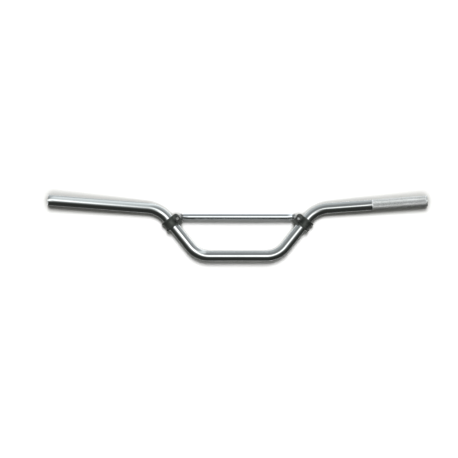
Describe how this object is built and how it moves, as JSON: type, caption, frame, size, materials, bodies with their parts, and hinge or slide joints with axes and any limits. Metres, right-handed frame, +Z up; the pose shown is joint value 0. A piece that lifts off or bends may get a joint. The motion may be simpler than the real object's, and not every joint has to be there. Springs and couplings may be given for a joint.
{
  "type": "handlebar",
  "caption": "Wide bent-tube motorcycle handlebar in chromed steel, with a crossbar bolted between clamps on its inclined stretches.",
  "frame": {"origin": "middle of the straight centre section, on the tube's axis, where the stem clamps hold the bar", "axes": "+X along the centre section to the rider's right, +Y forward, +Z up; the grips rise along +Z and sweep back along -Y"},
  "size_m": [0.8072, 0.0775, 0.1403],
  "materials": {
    "bar_chrome": "bright chrome plate, slightly hazed, knurled on one grip",
    "crossbar_chrome": "bright chrome plate",
    "bright_steel": "turned and zinc plated",
    "clamp_black": "semi-gloss black-grey coating",
    "zinc": "bright zinc plate",
    "black_oxide": "black oxide"
  },
  "bodies": {
    "root": {"main_bar": "bar_chrome", "crossbar_tube": "crossbar_chrome", "left_crossbar_end": "bright_steel", "left_clamp_front": "clamp_black", "left_clamp_rear": "clamp_black", "left_clamp_bolt": "zinc", "left_clamp_nut": "black_oxide", "left_lock_washer": "black_oxide", "left_front_washer": "black_oxide", "left_rear_washer": "black_oxide", "right_crossbar_end": "bright_steel", "right_clamp_front": "clamp_black", "right_clamp_rear": "clamp_black", "right_clamp_bolt": "zinc", "right_clamp_nut": "black_oxide", "right_lock_washer": "black_oxide", "right_front_washer": "black_oxide", "right_rear_washer": "black_oxide"}
  },
  "joints": []
}
